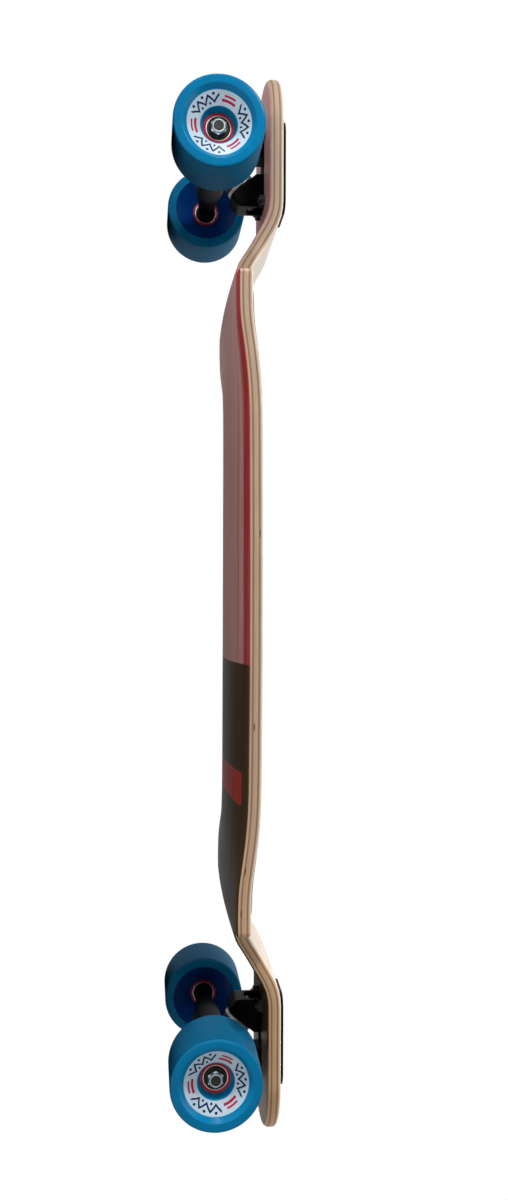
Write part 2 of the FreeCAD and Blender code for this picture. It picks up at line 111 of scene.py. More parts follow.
def hollow_share(x):
    """How much of the full hollow the platform has at x: a cubic spline, as the press was cut."""
    full = [concave_knots[0]] * 3 + concave_knots + [concave_knots[-1]] * 3
    span = max(i for i in range(3, len(concave_shares)) if full[i] <= x)
    values = list(concave_shares[span - 3:span + 1])
    for level in (1, 2, 3):
        for j in range(3, level - 1, -1):
            i = span - 3 + j
            share = (x - full[i]) / (full[i + 4 - level] - full[i])
            values[j] = (1 - share) * values[j - 1] + share * values[j]
    return values[3]


def deck_height(x, y, up):
    """Height of the deck at a plan point, for a layer that lies up above the laminate's middle."""
    reach = abs(x)
    grow_low, grow_high, fade_low, fade_high = shoulder_lift_span
    grown = smooth_step(grow_low, grow_high, reach)
    faded = smooth_step(fade_low, fade_high, reach)
    lift = shoulder_lift * grown * (1 - faded)
    across = (y / platform_half) ** 2
    if reach <= bend_start:
        return platform_middle + up + (concave_rise * hollow_share(x) + lift) * across
    low_radius = bend_radius - up
    high_radius = bend_radius + up
    low_end = bend_start + low_radius * math.sin(drop_slope)
    high_end = bend_end - high_radius * math.sin(drop_slope)
    if reach < low_end:
        height = platform_middle + bend_radius - math.sqrt(low_radius ** 2 - (reach - bend_start) ** 2)
    elif reach < high_end:
        start = platform_middle + bend_radius - low_radius * math.cos(drop_slope)
        height = start + (reach - low_end) * math.tan(drop_slope)
    elif reach < bend_end:
        height = nose_middle - bend_radius + math.sqrt(high_radius ** 2 - (bend_end - reach) ** 2)
    else:
        height = nose_middle + up
    return height + lift * across


def rounded_path(corners, step):
    """Points and outward normals along a run of (x, y, radius) corners; the first and last are its ends."""
    path = []
    last = Vector(corners[0][:2])
    for i in range(1, len(corners)):
        corner = Vector(corners[i][:2])
        ahead = corner - last
        into = ahead.normalized() if ahead.length > same_spot else out
        radius = corners[i][2]
        start = corner
        if radius:
            out = (Vector(corners[i + 1][:2]) - corner).normalized()
            turn = -into.angle_signed(out)
            reach = radius * math.tan(abs(turn) / 2)
            start = corner - into * reach
        count = max(1, math.ceil((start - last).length / step))
        normal = Vector((into.y, -into.x))
        path += [(last.lerp(start, j / count), normal) for j in range(count + 1)]
        if radius:
            side = 1 if turn > 0 else -1
            centre = start - side * normal * radius
            arc_count = max(2, math.ceil(abs(turn) / arc_step))
            for j in range(1, arc_count):
                swung = normal.copy()
                swung.rotate(Matrix.Rotation(turn * j / arc_count, 2))
                path.append((centre + side * swung * radius, swung))
            last = corner + out * reach
        else:
            last = corner
    apart = [True] + [(b[0] - a[0]).length > same_spot for a, b in zip(path, path[1:])]
    return [spot for spot, kept in zip(path, apart) if kept]


def deck_inset(x, up):
    """How far the rounded edge draws in at a height above the laminate's middle; the tips are rounder."""
    at_tip = smooth_step(*tip_round_span, abs(x))
    low_round = edge_round_low + (tip_round - edge_round_low) * at_tip
    high_round = edge_round_high + (tip_round - edge_round_high) * at_tip
    low_fall = max(0, low_round - deck_thickness / 2 - up)
    high_fall = max(0, up - deck_thickness / 2 + high_round)
    low_inset = low_round - math.sqrt(max(0, low_round ** 2 - low_fall ** 2))
    high_inset = high_round - math.sqrt(max(0, high_round ** 2 - high_fall ** 2))
    return low_inset + high_inset


def link_mesh(name, mesh):
    piece = bpy.data.objects.new(name, mesh)
    bpy.context.scene.collection.objects.link(piece)
    return piece


def smooth_mesh(mesh, sharp_degrees):
    mesh.polygons.foreach_set("use_smooth", [True] * len(mesh.polygons))
    mesh.set_sharp_from_angle(angle=math.radians(sharp_degrees))


def sheet_layer(name, path, low, high, inset, columns):
    """Closed solid between two layer heights: rows across the board from one edge path to its mirror."""
    levels = [low, high]
    for step in range(1, edge_arc_steps):
        fall = math.sin(math.pi / 2 * step / edge_arc_steps)
        for edge_round in (edge_round_low, tip_round):
            levels.append(-deck_thickness / 2 + edge_round * (1 - fall))
        for edge_round in (edge_round_high, tip_round):
            levels.append(deck_thickness / 2 - edge_round * (1 - fall))
    levels = sorted(level for level in set(levels) if low <= level <= high)
    rows = len(path)
    loop = [(i, 0) for i in range(rows)] + [(rows - 1, k) for k in range(1, columns)]
    loop += [(i, columns) for i in reversed(range(rows))] + [(0, k) for k in reversed(range(1, columns))]
    verts = []
    index = {}

    def vertex(i, k, up):
        key = (i, k, up)
        if key not in index:
            point = path[i][0] - path[i][1] * inset(path[i][0].x, up)
            y = point.y * (1 - 2 * k / columns)
            index[key] = len(verts)
            verts.append((point.x, y, deck_height(point.x, y, up)))
        return index[key]

    faces = []
    for i in range(rows - 1):
        for k in range(columns):
            cell = [(i, k), (i + 1, k), (i + 1, k + 1), (i, k + 1)]
            faces.append([vertex(*place, high) for place in cell])
            faces.append([vertex(*place, low) for place in reversed(cell)])
    for under, over in zip(levels, levels[1:]):
        for here, there in zip(loop, loop[1:] + loop[:1]):
            corners = ((there, under), (there, over), (here, over), (here, under))
            faces.append([vertex(*place, up) for place, up in corners])
    mesh = bpy.data.meshes.new(name)
    mesh.from_pydata(verts, [], faces)
    mesh.validate()
    return link_mesh(name, mesh)


def applied(piece):
    """Fixes a piece's modifiers into its mesh."""
    shape = bpy.data.meshes.new_from_object(piece.evaluated_get(bpy.context.evaluated_depsgraph_get()))
    piece.modifiers.clear()
    piece.data = shape


def cut_away(piece, cutter):
    """Takes the cutter's shape out of a piece."""
    saw = piece.modifiers.new("cut", "BOOLEAN")
    saw.object = cutter
    saw.solver = "EXACT"
    applied(piece)


deck_quarter = [
    (deck_tip, nose_half, nose_corner),
    (shoulder_x + shoulder_lean + shoulder_depth, nose_half, neck_fillet),
    (shoulder_x + shoulder_lean, platform_half - shoulder_depth, neck_fillet),
    (shoulder_x, platform_half, shoulder_corner),
]
deck_half = deck_quarter + [(-x, y, radius) for x, y, radius in reversed(deck_quarter)]
deck_path = rounded_path([(deck_tip, nose_half - nose_corner, 0)] + deck_half
                         + [(-deck_tip, nose_half - nose_corner, 0)], path_step)

window_verts = []
window_faces = []
for end in (1, -1):
    first = len(window_verts)
    for z in cutter_reach:
        window_verts += [(end * x, end * y, z) for x, y in (
            (window_reach[0], -window_half_width), (window_reach[1], -window_half_width),
            (window_reach[1], window_half_width), (window_reach[0], window_half_width))]
    window_faces += [[first + i for i in face] for face in (
        (3, 2, 1, 0), (4, 5, 6, 7), (0, 1, 5, 4), (1, 2, 6, 5), (2, 3, 7, 6), (3, 0, 4, 7))]
window_mesh = bpy.data.meshes.new("window_cutter")
window_mesh.from_pydata(window_verts, [], window_faces)
window_cutter = link_mesh("window_cutter", window_mesh)

core_half = deck_thickness / 2 - veneer_thickness
deck_layers = {}
for layer_name, layer_low, layer_high in (
        ("deck_bottom_veneer", -deck_thickness / 2, -core_half),
        ("deck_core", -core_half, core_half),
        ("deck_top_veneer", core_half, deck_thickness / 2)):
    layer = sheet_layer("pressed_" + layer_name, deck_path, layer_low, layer_high, deck_inset, deck_columns)
    cut_away(layer, window_cutter)
    lay = layer.data.uv_layers.new(name="laminate")
    for corner in layer.data.loops:
        x, y, z = layer.data.vertices[corner.vertex_index].co
        floor_z = deck_height(x, y, -deck_thickness / 2)
        roof_z = deck_height(x, y, deck_thickness / 2)
        lay.data[corner.index].uv = (x, (z - floor_z) / (roof_z - floor_z))
    smooth_mesh(layer.data, deck_crease)
    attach(layer, "deck")
    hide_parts(layer_name)
    deck_layers[layer_name] = layer
bpy.data.objects.remove(window_cutter)

screen_gamma = 2.2
screen_full = 255


def srgb(red, green, blue):
    """Linear colour from the 0 to 255 values of a screen colour."""
    return tuple((value / screen_full) ** screen_gamma for value in (red, green, blue)) + (1,)


def shade(tree, kind, inputs=None, **settings):
    """Adds a shader node; inputs are values, or sockets of other nodes to join."""
    made = tree.nodes.new("ShaderNode" + kind)
    for key, value in settings.items():
        setattr(made, key, value)
    for key, value in (inputs or {}).items():
        if isinstance(value, bpy.types.NodeSocket):
            tree.links.new(value, made.inputs[key])
        else:
            made.inputs[key].default_value = value
    return made


def maths(tree, operation, *values):
    made = shade(tree, "Math", dict(enumerate(values)), operation=operation)
    return made.outputs[0]


def mixed(tree, share, first, second, blend="MIX"):
    """Colour that goes from first to its blend with second as share goes from 0 to 1."""
    made = shade(tree, "Mix", {0: share, 6: first, 7: second}, data_type="RGBA", blend_type=blend)
    return made.outputs[2]


def graded(tree, value, start, end, low=0.0, high=1.0):
    """Goes from low to high as value goes from start to end, and stays level past both."""
    made = shade(tree, "MapRange", {0: value, 1: start, 2: end, 3: low, 4: high})
    return made.outputs[0]


def object_place(tree):
    return shade(tree, "TexCoord").outputs["Object"]


def split(tree, vector):
    return shade(tree, "SeparateXYZ", {0: vector}).outputs


def relief(tree, height, strength, distance):
    """Normals of a fine relief."""
    made = shade(tree, "Bump", {"Strength": strength, "Distance": distance, "Height": height})
    return made.outputs[0]


def ramp(tree, share, stops):
    """Colour along a row of (place, colour) stops."""
    made = shade(tree, "ValToRGB", {0: share})
    bar = made.color_ramp
    while len(bar.elements) < len(stops):
        bar.elements.new(1)
    for element, (place, colour) in zip(bar.elements, stops):
        element.position = place
        element.color = colour
    return made.outputs[0]


def finish(name, **sockets):
    """Material with one Principled shader; sockets are its plain values."""
    material = bpy.data.materials.new(name)
    material.use_nodes = True
    tree = material.node_tree
    tree.nodes.clear()
    skin = shade(tree, "BsdfPrincipled", {key.replace("_", " "): value for key, value in sockets.items()})
    shade(tree, "OutputMaterial", {"Surface": skin.outputs[0]})
    return material, tree, skin.inputs


def effect(name, inputs, outputs):
    """Shader node group that several finishes share."""
    tree = bpy.data.node_groups.new(name, "ShaderNodeTree")
    for key, kind, value in inputs:
        socket = tree.interface.new_socket(key, in_out="INPUT", socket_type="NodeSocket" + kind)
        if value is not None:
            socket.default_value = value
    for key, kind in outputs:
        tree.interface.new_socket(key, in_out="OUTPUT", socket_type="NodeSocket" + kind)
    return tree, tree.nodes.new("NodeGroupInput").outputs, tree.nodes.new("NodeGroupOutput").inputs


def placed_effect(tree, group, **inputs):
    return shade(tree, "Group", inputs, node_tree=group).outputs


pore_stretch = (6, 5, 5)
pore_span = (0.60, 0.72)
wood_grain, grain_in, grain_out = effect(
    "wood_grain",
    [("Place", "Vector", None), ("Streaks", "Float", 220.0), ("Length", "Float", 5.0)],
    [("Streak", "Float"), ("Pore", "Float")])
scales = shade(wood_grain, "CombineXYZ",
               {0: grain_in["Length"], 1: grain_in["Streaks"], 2: grain_in["Streaks"]}).outputs[0]
stretched = shade(wood_grain, "VectorMath", {0: grain_in["Place"], 1: scales},
                  operation="MULTIPLY").outputs[0]
streak = shade(wood_grain, "TexNoise", {"Vector": stretched, "Scale": 1, "Detail": 5, "Roughness": 0.62})
wood_grain.links.new(streak.outputs["Fac"], grain_out["Streak"])
pore_place = shade(wood_grain, "VectorMath", {0: stretched, 1: pore_stretch},
                   operation="MULTIPLY").outputs[0]
pore = shade(wood_grain, "TexNoise", {"Vector": pore_place, "Scale": 1, "Detail": 2})
wood_grain.links.new(graded(wood_grain, pore.outputs["Fac"], *pore_span), grain_out["Pore"])

# The stained underside: two colour fields that meet in a straight line and one plain cross band,
# rubbed into the bottom veneer so that the grain shows through, under thin clear lacquer. Painted
# reflection lightens both fields: the red one to mauve down its middle, the dark one toward the tail.
stain_joint_x = -0.054
band_reach = (-0.1785, -0.1490)
band_half_width = 0.105
stain_edge = 0.0006
rail_red_span = (0.156, 0.180)
rail_red_stray = 0.14
stain_pores = 0.3
tail_painted_reflection_span = (-0.400, -0.470)
tail_painted_reflection_share = 0.85
stain_relief = (0.12, 0.0004)
stain, tree, skin = finish("stained_lacquer", Roughness=0.42, Specular_IOR_Level=0.008,
                           Coat_Weight=0.04, Coat_Roughness=0.2)
axes = split(tree, object_place(tree))
place = shade(tree, "CombineXYZ", {0: axes[0], 1: axes[1]}).outputs[0]
grain = placed_effect(tree, wood_grain, Place=place, Streaks=120.0, Length=1.6)
fine = placed_effect(tree, wood_grain, Place=place, Streaks=260.0, Length=1.8)
broad = placed_effect(tree, wood_grain, Place=place, Streaks=55.0, Length=1.1)
side = maths(tree, "ABSOLUTE", axes[1])
# Painted reflection: the pale mauve down the middle of the red field stands for the lacquer's reflection of
# the bright surround on the red stain; the red toward the rails and the grain streaks are the stain's own.
mauve_painted_reflection = ramp(tree, fine["Streak"], [
    (0.32, srgb(176, 114, 111)), (0.46, srgb(214, 167, 162)),
    (0.54, srgb(192, 140, 135)), (0.68, srgb(224, 188, 182))])
red = ramp(tree, fine["Streak"], [
    (0.32, srgb(117, 40, 43)), (0.44, srgb(170, 60, 63)),
    (0.52, srgb(144, 53, 56)), (0.64, srgb(194, 124, 120))])
strayed = maths(tree, "MULTIPLY_ADD", broad["Streak"], rail_red_stray, side)
red_field = mixed(tree, graded(tree, strayed, *rail_red_span), mauve_painted_reflection, red)
red_field = mixed(tree, maths(tree, "MULTIPLY", fine["Pore"], stain_pores), red_field, srgb(96, 36, 38))
dark_field = ramp(tree, grain["Streak"], [
    (0.30, srgb(45, 33, 21)), (0.46, srgb(77, 59, 41)), (0.55, srgb(58, 44, 30)), (0.70, srgb(94, 73, 53))])
# Painted reflection: the dark stain turns paler toward the tail tip, for the lacquer's reflection of the
# bright surround there.
tail_painted_reflection = graded(tree, axes[0], *tail_painted_reflection_span, high=tail_painted_reflection_share)
dark_field = mixed(tree, tail_painted_reflection, dark_field, srgb(152, 136, 122))
is_front = graded(tree, axes[0], stain_joint_x, stain_joint_x + stain_edge)
fields = mixed(tree, is_front, dark_field, red_field)
past_low = graded(tree, axes[0], band_reach[0], band_reach[0] + stain_edge)
past_high = graded(tree, axes[0], band_reach[1], band_reach[1] - stain_edge)
within = graded(tree, side, band_half_width, band_half_width - stain_edge)
on_band = maths(tree, "MULTIPLY", maths(tree, "MULTIPLY", past_low, past_high), within)
band_field = ramp(tree, grain["Streak"], [(0.3, srgb(166, 46, 34)), (0.7, srgb(188, 66, 50))])
tree.links.new(mixed(tree, on_band, fields, band_field), skin["Base Color"])
tree.links.new(relief(tree, fine["Streak"], *stain_relief), skin["Normal"])
deck_layers["deck_bottom_veneer"].data.materials.append(stain)

# The sanded edge of the core: pale lengthwise plies, two darker cross plies and thin glue lines,
# with a few filled knots along one rail; the wood is more amber toward the tail.
ply_marks = ((-0.107, 0.42), (-0.231, 0.36), (-0.267, 0.30), (0.0595, 0.75))
ply_mark_half_length = 0.0042
ply_mark_half_share = 0.045
ply_mark_edge = (1.1, 0.5)
ply_pores = 0.30
ply_tint_span = (0.3, 0.7)
ply_tint = (0.88, 1.08)
ply_relief = (0.25, 0.0003)
tailward_span = (-0.10, -0.46)
tailward_tint = (1.28, 1.10, 0.86, 1)
pale = srgb(179, 155, 132)
warm = srgb(173, 145, 118)
cross = srgb(136, 100, 76)
glue = srgb(158, 130, 106)


def square_sum(tree, first, second):
    return maths(tree, "ADD", maths(tree, "MULTIPLY", first, first), maths(tree, "MULTIPLY", second, second))


ply_edge, tree, skin = finish("ply_edge", Roughness=0.55)
lay = split(tree, shade(tree, "UVMap", uv_map="laminate").outputs[0])
axes = split(tree, object_place(tree))
through = maths(tree, "MULTIPLY", lay[1], deck_thickness)
place = shade(tree, "CombineXYZ", {0: axes[0], 1: axes[1], 2: through}).outputs[0]
grain = placed_effect(tree, wood_grain, Place=place, Streaks=900.0, Length=26.0)
plies = ramp(tree, lay[1], [
    (0.0, warm), (0.22, pale), (0.245, glue), (0.27, cross), (0.345, cross), (0.375, glue), (0.40, pale),
    (0.50, warm), (0.52, pale), (0.64, pale), (0.665, glue), (0.69, cross), (0.755, cross), (0.78, glue),
    (0.81, pale), (0.90, warm), (1.0, pale)])
plies = mixed(tree, maths(tree, "MULTIPLY", grain["Pore"], ply_pores), plies, srgb(132, 102, 80))
plies = mixed(tree, 1.0, plies, graded(tree, grain["Streak"], *ply_tint_span, *ply_tint), "MULTIPLY")
# The ply edges turn warmer toward the tail.
amber = mixed(tree, graded(tree, axes[0], *tailward_span), plies, tailward_tint, "MULTIPLY")
marks = None
for mark_x, mark_share in ply_marks:
    along = maths(tree, "DIVIDE", maths(tree, "SUBTRACT", lay[0], mark_x), ply_mark_half_length)
    through = maths(tree, "DIVIDE", maths(tree, "SUBTRACT", lay[1], mark_share), ply_mark_half_share)
    spot = graded(tree, square_sum(tree, along, through), *ply_mark_edge)
    marks = spot if marks is None else maths(tree, "MAXIMUM", marks, spot)
marks = maths(tree, "MULTIPLY", marks, maths(tree, "GREATER_THAN", axes[1], 0.0))
tree.links.new(mixed(tree, marks, amber, srgb(72, 46, 30)), skin["Base Color"])
tree.links.new(relief(tree, grain["Streak"], *ply_relief), skin["Normal"])
deck_layers["deck_core"].data.materials.append(ply_edge)

# The top veneer: pale maple with long grain under a thin satin lacquer.
# It is pressed on with the other plies and stays bare round the grip sheet and on both raised ends.
maple_pores = 0.25
maple_relief = (0.15, 0.0003)
top_wood, tree, skin = finish("maple_top", Roughness=0.40, Coat_Weight=0.2, Coat_Roughness=0.3)
axes = split(tree, object_place(tree))
place = shade(tree, "CombineXYZ", {0: axes[0], 1: axes[1]}).outputs[0]
grain = placed_effect(tree, wood_grain, Place=place, Streaks=150.0, Length=3.0)
fine = placed_effect(tree, wood_grain, Place=place, Streaks=700.0, Length=18.0)
maple = ramp(tree, grain["Streak"], [
    (0.30, srgb(201, 179, 152)), (0.48, srgb(221, 203, 179)),
    (0.60, srgb(212, 192, 166)), (0.72, srgb(228, 211, 189))])
maple = mixed(tree, maths(tree, "MULTIPLY", fine["Pore"], maple_pores), maple, srgb(160, 126, 94))
tree.links.new(maple, skin["Base Color"])
tree.links.new(relief(tree, fine["Streak"], *maple_relief), skin["Normal"])
deck_layers["deck_top_veneer"].data.materials.append(top_wood)

# Grip sheet: black mineral grit on a backing film, cut with round corners
# and stuck to the platform's top inside the rails.
grip_glue = 0.0001
grip_thickness = 0.0008
grip_inset = 0.006
grip_corner = 0.012
grit_relief = (0.8, 0.0005)
scuff_span = (0.45, 0.75)
scuff_share = 0.35
grip_tip = bend_start - grip_inset
grip_side = platform_half - grip_inset
grip_half = [(grip_tip, grip_side, grip_corner), (-grip_tip, grip_side, grip_corner)]
grip_path = rounded_path([(grip_tip, grip_side - grip_corner, 0)] + grip_half
                         + [(-grip_tip, grip_side - grip_corner, 0)], path_step)
grip_low = deck_thickness / 2 + grip_glue
grip_high = grip_low + grip_thickness
grip = sheet_layer("grit_sheet", grip_path, grip_low, grip_high, lambda x, up: 0, deck_columns)
smooth_mesh(grip.data, deck_crease)
grit, tree, skin = finish("black_grit", Roughness=0.85, Specular_IOR_Level=0.35)
place = object_place(tree)
grains = shade(tree, "TexVoronoi", {"Vector": place, "Scale": 1500.0}).outputs
wear = shade(tree, "TexNoise", {"Vector": place, "Scale": 14.0, "Detail": 4}).outputs["Fac"]
sparkle = ramp(tree, grains["Color"], [
    (0.0, srgb(18, 18, 19)), (0.7, srgb(30, 30, 31)), (1.0, srgb(74, 74, 76))])
scuffed = graded(tree, wear, *scuff_span, high=scuff_share)
tree.links.new(mixed(tree, scuffed, sparkle, srgb(52, 50, 48)), skin["Base Color"])
tree.links.new(relief(tree, grains["Distance"], *grit_relief), skin["Normal"])
grip.data.materials.append(grit)
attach(grip, "deck")
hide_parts("grip_sheet")

# Baseplates and hangers: aluminium castings with soft edges under satin black powder coat.
# A baseplate's flange lies on the deck, its boss and pivot housing pass through the window; the hanger
# hangs between them and carries the axle.
cast_voxel = 0.0009
cast_smoothing = 8
cast_crease = 70
worn_bend = (0.53, 0.62)
worn_patch = (0.42, 0.62)
dust_span = (0.48, 0.78)
pebble_depth = 0.0004
coat_dust = 0.5

worn_edges, worn_in, worn_out = effect("worn_edges", [("Place", "Vector", None)], [("Mask", "Float")])
edge = graded(worn_edges, shade(worn_edges, "NewGeometry").outputs["Pointiness"], *worn_bend)
patch = shade(worn_edges, "TexNoise", {"Vector": worn_in["Place"], "Scale": 160.0, "Detail": 5})
patchy = graded(worn_edges, patch.outputs["Fac"], *worn_patch)
worn_edges.links.new(maths(worn_edges, "MULTIPLY", edge, patchy), worn_out["Mask"])

road_dust, dust_in, dust_out = effect(
    "road_dust", [("Place", "Vector", None), ("Scale", "Float", 900.0), ("Relief", "Float", 0.12)],
    [("Dust", "Float"), ("Normal", "Vector")])
place = dust_in["Place"]
cloud = shade(road_dust, "TexNoise", {"Vector": place, "Scale": 35.0, "Detail": 6, "Roughness": 0.65})
road_dust.links.new(graded(road_dust, cloud.outputs["Fac"], *dust_span), dust_out["Dust"])
pebble = shade(road_dust, "TexNoise", {"Vector": place, "Scale": dust_in["Scale"], "Detail": 2})
pebbled = relief(road_dust, pebble.outputs["Fac"], dust_in["Relief"], pebble_depth)
road_dust.links.new(pebbled, dust_out["Normal"])


def dusted(tree, skin, deep, dusty, share, **inputs):
    """Joins road dust to a finish: its normals, and a tone between two colours, which comes back."""
    dust = placed_effect(tree, road_dust, Place=object_place(tree), **inputs)
    tree.links.new(dust["Normal"], skin["Normal"])
    return mixed(tree, maths(tree, "MULTIPLY", dust["Dust"], share), deep, dusty)


def coated(name, deep, dusty, bare, rough, gloss, scale):
    """Coated or moulded finish: one deep tone with dust in it and paler worn edges."""
    material, tree, skin = finish(name, Roughness=rough, Specular_IOR_Level=gloss)
    tone = dusted(tree, skin, deep, dusty, coat_dust, Scale=scale)
    worn = placed_effect(tree, worn_edges, Place=object_place(tree))
    tree.links.new(mixed(tree, worn["Mask"], tone, bare), skin["Base Color"])
    return material


def cast_copy(node):
    """Casting with softened edges, grown from the solid's own surface."""
    piece = link_mesh("cast_" + node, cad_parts[node].data.copy())
    piece.data.materials.clear()
    grown = piece.modifiers.new("grown", "REMESH")
    grown.mode = "VOXEL"
    grown.voxel_size = cast_voxel
    eased = piece.modifiers.new("eased", "SMOOTH")
    eased.iterations = cast_smoothing
    applied(piece)
    smooth_mesh(piece.data, cast_crease)
    return piece


powder = coated("powder_black", srgb(7, 7, 8), srgb(14, 14, 15), srgb(40, 40, 42),
                rough=0.42, gloss=0.05, scale=700.0)
for truck in ("front", "rear"):
    for node, body in ((truck + "_baseplate", "deck"), (truck + "_hanger", truck + "_hanger")):
        casting = cast_copy(node)
        casting.data.materials.append(powder)
        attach(casting, body)
        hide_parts(node)

# Bushings, cup washers and kingpin nuts: two urethane barrels squeezed between pressed steel cups on
# each kingpin; the nut sets their squeeze.
pivot_slant = math.radians(50)
kingpin_along = 0.018
ring_half = 0.0085
bushing_radius = 0.013
bushing_height = 0.0155
bushing_bore = 0.0048
barrel_tuck = 0.0006
barrel_swell = 0.0009
barrel_steps = 12
cup_thickness = 0.002
cup_gap = 0.0001
cup_wall = 0.0013
cup_rim = 0.002
cup_edge = 0.001
cup_bevel = 0.0012
kingpin_nut_across = 0.016
kingpin_nut_height = 0.008
nut_chamfer_share = 0.6
nut_face_share = 0.98
nut_mouth_share = 0.12
turn_segments = 72
turn_crease = 35
bushing_dust = 0.6
tarnish_rough = 0.18
rim_radius = bushing_radius + cup_gap
seat_off = ring_half + bushing_height + cup_thickness


def truck_frame(truck):
    """The truck's own frame: origin at the axle's middle, X away from the board's middle."""
    low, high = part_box(truck + "_axle")
    turn = 0 if truck == "front" else math.pi
    return Matrix.Translation((low + high) / 2) @ Matrix.Rotation(turn, 4, "Z")


def kingpin_frame(truck):
    """Z runs up the kingpin; the origin is where the kingpin crosses the pivot axis."""
    foot = Vector((kingpin_along * math.cos(pivot_slant), 0, kingpin_along * math.sin(pivot_slant)))
    return truck_frame(truck) @ Matrix.Translation(foot) @ Matrix.Rotation(-pivot_slant, 4, "Y")


def turned(name, profile, place, segments, across=None):
    """Closed shape of revolution about the place's Z from (radius, height) points, outside going up.
    Points with a third value are cut to a hexagon of the given width across its flats."""
    mesh = bpy.data.meshes.new(name)
    verts = []
    rings = []
    for spot in profile:
        ring = []
        for j in range(segments):
            angle = 2 * math.pi * j / segments
            reach = spot[0]
            if across and len(spot) > 2:
                off_flat = angle % (math.pi / 3) - math.pi / 6
                reach = min(reach, across / 2 / math.cos(off_flat))
            ring.append(len(verts))
            verts.append(place @ Vector((reach * math.cos(angle), reach * math.sin(angle), spot[1])))
        rings.append(ring)
    faces = []
    marks = []
    for first in range(len(rings)):
        second = (first + 1) % len(rings)
        for j in range(segments):
            k = (j + 1) % segments
            faces.append((rings[first][j], rings[first][k], rings[second][k], rings[second][j]))
            across_seam = (j + 1) / segments
            marks.append(((j / segments, profile[first][0]), (across_seam, profile[first][0]),
                          (across_seam, profile[second][0]), (j / segments, profile[second][0])))
    mesh.from_pydata(verts, [], faces)
    lay = mesh.uv_layers.new(name="turn")
    for face, corners in zip(mesh.polygons, marks):
        for index, uv in zip(face.loop_indices, corners):
            lay.data[index].uv = uv
    smooth_mesh(mesh, turn_crease)
    return link_mesh(name, mesh)


def nut_profile(across, low, high, bore):
    """Hexagon nut with turned chamfers at both ends."""
    corner = across / math.sqrt(3)
    chamfer = (corner - across / 2) * nut_chamfer_share
    mouth = bore * nut_mouth_share
    return [(bore, low), (across / 2, low), (corner, low + chamfer, 1), (corner, high - chamfer, 1),
            (across / 2 * nut_face_share, high), (bore + mouth, high), (bore, high - mouth)]


bushing_skin, tree, skin = finish("bushing_urethane", Roughness=0.38, Specular_IOR_Level=0.35)
tone = dusted(tree, skin, srgb(26, 26, 28), srgb(52, 50, 48), share=bushing_dust, Scale=500.0)
tree.links.new(tone, skin["Base Color"])


def metal(name, bright, dull, rough, scale):
    """Bare or plated metal with a faint fine relief and tarnish."""
    material, tree, skin = finish(name, Metallic=1.0)
    dust = placed_effect(tree, road_dust, Place=object_place(tree), Scale=scale, Relief=0.02)
    tree.links.new(mixed(tree, dust["Dust"], bright, dull), skin["Base Color"])
    tree.links.new(graded(tree, dust["Dust"], 0.0, 1.0, rough, rough + tarnish_rough), skin["Roughness"])
    tree.links.new(dust["Normal"], skin["Normal"])
    return material


plated = metal("plated_steel", (0.86, 0.86, 0.85, 1), (0.70, 0.69, 0.66, 1), rough=0.26, scale=600.0)
satin = metal("satin_steel", (0.95, 0.94, 0.92, 1), (0.86, 0.85, 0.82, 1), rough=0.46, scale=600.0)
zinc = metal("zinc_steel", (0.50, 0.50, 0.49, 1), (0.38, 0.375, 0.36, 1), rough=0.34, scale=600.0)
for truck in ("front", "rear"):
    upright = kingpin_frame(truck)
    for node, side in (("board_bushing", 1), ("road_bushing", -1)):
        barrel = [(bushing_bore, side * ring_half)]
        for step in range(barrel_steps + 1):
            share = step / barrel_steps
            swell = barrel_swell * math.sin(math.pi * share)
            height = side * (ring_half + bushing_height * share)
            barrel.append((bushing_radius - barrel_tuck + swell, height))
        barrel.append((bushing_bore, side * (ring_half + bushing_height)))
        if side < 0:
            barrel.reverse()
        piece = turned(f"{truck}_{node}_barrel", barrel, upright, turn_segments)
        piece.data.materials.append(bushing_skin)
        end = upright @ Vector((0, 0, side * ring_half))
        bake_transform(piece)
        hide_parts(f"{truck}_{node}")
    for side_name, side, steel in (("board", 1, satin), ("road", -1, zinc)):
        base = side * seat_off
        floor_off = side * (seat_off - cup_thickness)
        lip_off = side * (seat_off - cup_thickness - cup_rim)
        cup = [(bushing_bore, base), (rim_radius - cup_edge, base),
               (rim_radius + cup_wall, base - side * cup_bevel), (rim_radius + cup_wall, lip_off),
               (rim_radius, lip_off), (rim_radius, floor_off), (bushing_bore, floor_off)]
        if side > 0:
            cup.reverse()
        washer = turned(f"{truck}_cup_washer_{side_name}", cup, upright, turn_segments)
        washer.data.materials.append(steel)
        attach(washer, "deck")
        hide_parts(truck + "_cup_washers")
    profile = nut_profile(kingpin_nut_across, -seat_off - kingpin_nut_height, -seat_off, bushing_bore)
    nut = turned(truck + "_kingpin_locknut", profile, upright, turn_segments, across=kingpin_nut_across)
    nut.data.materials.append(zinc)
    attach(nut, "deck")
    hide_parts(truck + "_kingpin_nut")

# Axle nuts: plated lock nuts with a nylon ring turned over at the outer end,
# screwed onto both threaded ends of each axle against the speed washers.
axle_radius = 0.004
axle_nut_across = 0.013
axle_nut_height = 0.006
axle_nut_start = 0.116
collar_height = 0.0021
collar_share = 0.93
collar_turn_share = 0.35
collar_top_share = 0.9
collar_mouth_share = 1.15
collar_mouth_depth = 0.3
wheel_places = [(truck, side_name, side) for truck in ("front", "rear")
                for side_name, side in (("left", 1), ("right", -1))]


def axle_end_frame(truck, side):
    """Z runs outward along the axle on one side of the board; the origin is the axle's middle."""
    low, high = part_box(truck + "_axle")
    return Matrix.Translation((low + high) / 2) @ Matrix.Rotation(-side * math.pi / 2, 4, "X")


